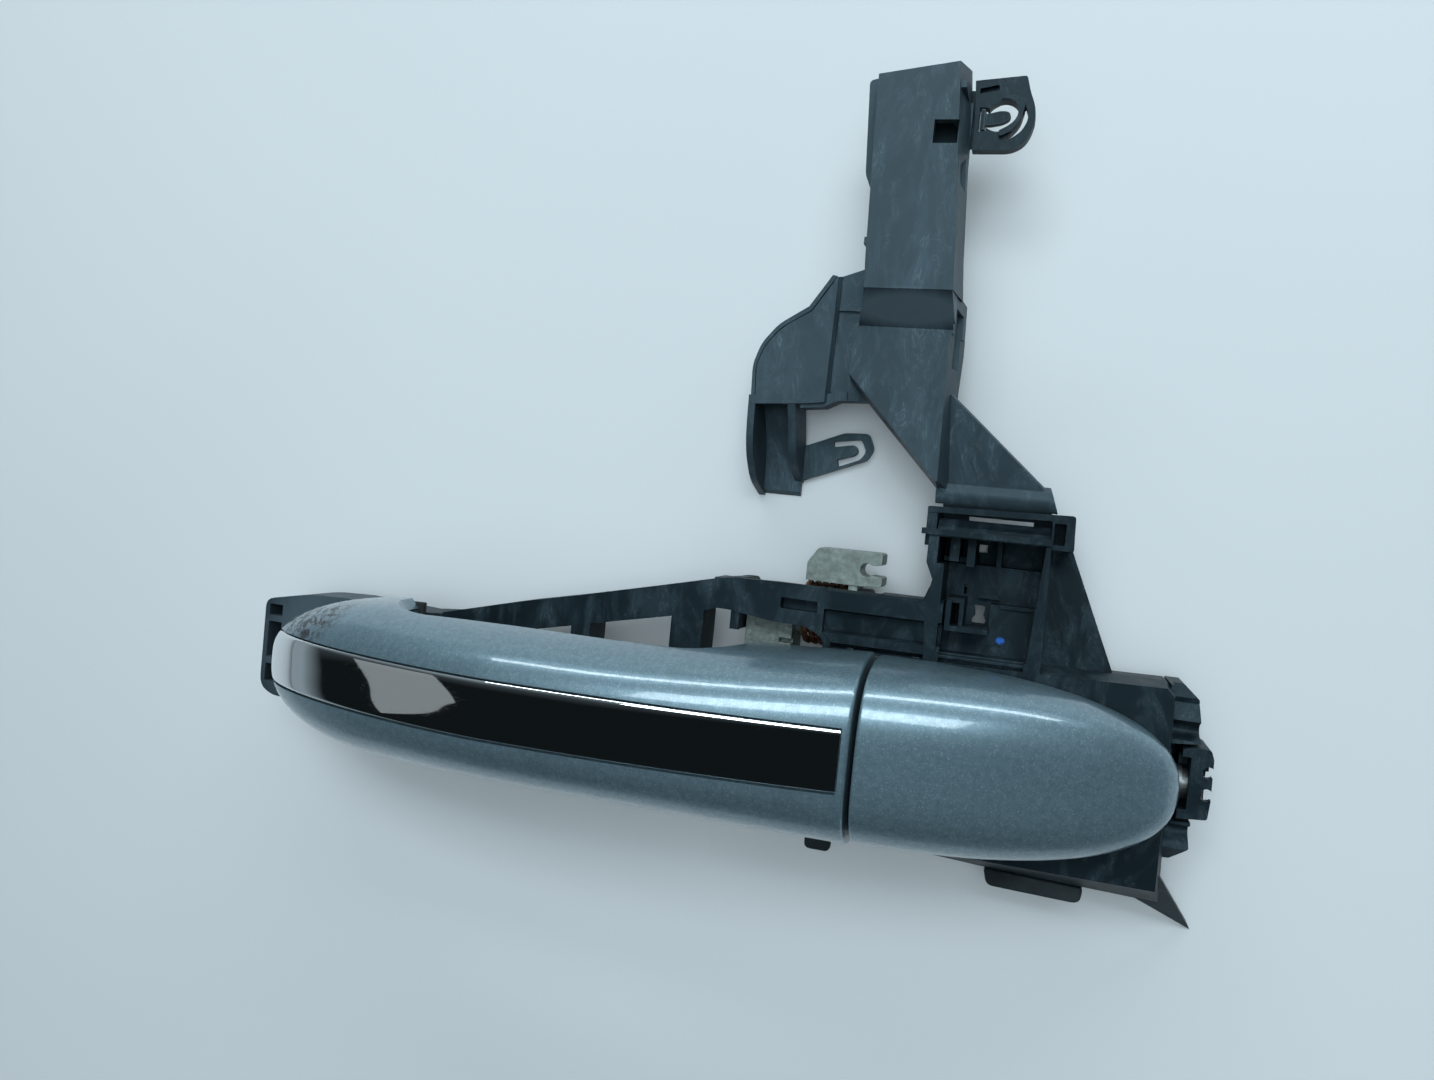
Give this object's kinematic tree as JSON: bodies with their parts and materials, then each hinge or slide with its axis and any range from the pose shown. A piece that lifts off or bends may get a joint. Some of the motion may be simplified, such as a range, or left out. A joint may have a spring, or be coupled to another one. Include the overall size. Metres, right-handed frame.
{
  "type": "car door handle",
  "caption": "Outside pull handle of a car door: painted strap grip with a chromed strip, fixed end cap, moulded carrier, release lever and arm to the latch.",
  "frame": {"origin": "on the carrier's seat for the door skin, on the handle's centre line, at the split between the grip and the end cap", "axes": "+Z out of the door, +X along the handle from the hinge end to the end cap, +Y towards the head of the latch arm"},
  "size_m": [0.2556, 0.1982, 0.0635],
  "materials": {
    "paint": "silver-blue metallic paint under clear coat, on moulded plastic",
    "chrome": "mirror chrome plating with fine wear scratches",
    "black_plastic": "glass-filled black moulding, satin, dusty and scuffed",
    "rubber": "soft black rubber, matt",
    "zinc": null,
    "steel": "zinc-plated steel, smooth",
    "spring_steel": "spring wire with brown surface rust"
  },
  "bodies": {
    "carrier": {"carrier_frame": "black_plastic", "latch_arm": "black_plastic", "cable_guide": "black_plastic", "latch_clip": "black_plastic", "clip_hook": "black_plastic", "skin_buffer": "rubber", "screw_collar": "black_plastic", "lever_pin": "steel", "pin_clip": "steel", "lever_spring": "spring_steel", "hinge_spring": "steel", "rear_gasket": "rubber", "end_cap_shell": "paint", "end_cap_base": "black_plastic"},
    "grip": {"grip_outer_shell": "paint", "grip_inner_shell": "black_plastic", "chrome_insert": "chrome", "grip_pivot_hook": "black_plastic", "grip_pull_arm": "zinc", "front_gasket": "rubber", "grip_screw_1": "steel", "grip_screw_2": "steel", "grip_screw_3": "steel", "grip_screw_4": "steel"},
    "lever": {"release_lever": "zinc"},
    "retainer": {"retainer_slide": "zinc"},
    "screw": {"retaining_screw": "steel"}
  },
  "joints": [
    {"name": "grip_swing", "type": "hinge", "parent": "carrier", "child": "grip", "pos_m": [-0.165, 0, -0.006], "axis": [0, -1, 0], "range_deg": [0, 6.5], "stiffness_Nm_per_rad": 6, "springref_deg": -8.59},
    {"name": "lever_swing", "type": "hinge", "parent": "carrier", "child": "lever", "pos_m": [-0.022, 0.0275, -0.014], "axis": [-1, 0, 0], "range_deg": [0, 28]},
    {"name": "retaining_screw_turn", "type": "hinge", "parent": "carrier", "child": "screw", "pos_m": [0.0705, -0.001, -0.0095], "axis": [1, 0, 0], "range_deg": [0, 1441]},
    {"name": "retainer_travel", "type": "slide", "parent": "carrier", "child": "retainer", "axis": [1, 0, 0], "range_m": [0, 0.005]}
  ],
  "couplings": [
    {"joint": "lever_swing", "follows": "grip_swing", "ratio": 4.3},
    {"joint": "retaining_screw_turn", "follows": "retainer_travel", "rad_per_m": 5026.5}
  ]
}
